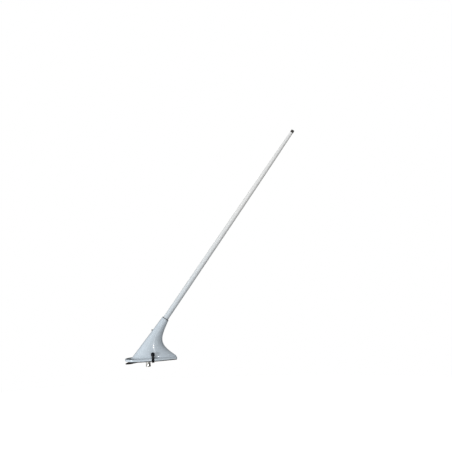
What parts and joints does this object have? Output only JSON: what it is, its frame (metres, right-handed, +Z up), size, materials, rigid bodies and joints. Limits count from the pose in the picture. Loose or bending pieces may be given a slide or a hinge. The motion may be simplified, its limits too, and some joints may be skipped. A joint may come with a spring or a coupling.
{
  "type": "whip antenna",
  "caption": "Raked white whip antenna on a moulded fin with a teardrop flange, gasket, coaxial jack below and captive side screws in open notches.",
  "frame": {"origin": "on the coaxial jack's axis at the mounting plane, which is the gasket's underside", "axes": "+X aft towards the flange's pointed tail and the way the whip leans, +Y to the side, +Z up from the mounting surface"},
  "size_m": [0.3665, 0.046, 0.4724],
  "materials": {
    "white_housing": "smooth glossy moulded surface",
    "white_whip": "smooth painted glass fibre",
    "black_rubber": "soft black rubber",
    "gasket_rubber": "brownish black sheet rubber",
    "black_cap": "moulded black rubber",
    "black_steel": "blackened steel",
    "dark_steel": "dark steel",
    "black_nylon": "black nylon",
    "bright_steel": "stainless steel",
    "plate_aluminium": "bead-blasted aluminium",
    "nickel": "nickel plating",
    "brass": "turned brass",
    "tinned_brass": "tinned brass",
    "gold_contact": "gold plating",
    "copper": "enamelled copper",
    "white_insulator": "white fluoropolymer",
    "circuit_board": "green glass-epoxy laminate",
    "capacitor_case": "dipped resin"
  },
  "bodies": {
    "antenna": {"radome_housing": "white_housing", "whip_rod": "white_whip", "whip_conductor": "copper", "whip_ferrule": "brass", "whip_set_screw": "dark_steel", "collar_seal_ring": "black_rubber", "tip_cap": "black_cap", "mounting_gasket": "gasket_rubber", "base_plate": "plate_aluminium", "base_plate_screws": "bright_steel", "threaded_inserts": "brass", "connector_body": "nickel", "connector_seal": "black_rubber", "connector_insulator": "white_insulator", "connector_contact": "gold_contact", "connector_lock_washer": "bright_steel", "ground_lug": "tinned_brass", "connector_nut": "nickel", "matching_board": "circuit_board", "board_bracket": "plate_aluminium", "board_screws": "bright_steel", "bracket_screws": "bright_steel", "coil_former": "white_insulator", "matching_coil": "copper", "capacitors": "capacitor_case", "feed_wire": "copper", "whip_lead": "copper", "ground_wire": "tinned_brass"},
    "near_bush": {"near_screw_bush": "black_nylon"},
    "near_screw": {"near_mounting_screw": "black_steel", "near_retaining_ring": "black_rubber"},
    "far_bush": {"far_screw_bush": "black_nylon"},
    "far_screw": {"far_mounting_screw": "black_steel", "far_retaining_ring": "black_rubber"}
  },
  "joints": [
    {"name": "near_screw_travel", "type": "slide", "parent": "antenna", "child": "near_bush", "axis": [0, 0, 1], "range_m": [-0.0055, 0]},
    {"name": "near_screw_turn", "type": "hinge", "parent": "near_bush", "child": "near_screw", "pos_m": [0.0115, -0.0174, 0.0116], "axis": [0, 0, 1], "continuous": true},
    {"name": "far_screw_travel", "type": "slide", "parent": "antenna", "child": "far_bush", "axis": [0, 0, 1], "range_m": [-0.0055, 0]},
    {"name": "far_screw_turn", "type": "hinge", "parent": "far_bush", "child": "far_screw", "pos_m": [0.0115, 0.0174, 0.0116], "axis": [0, 0, 1], "continuous": true}
  ]
}
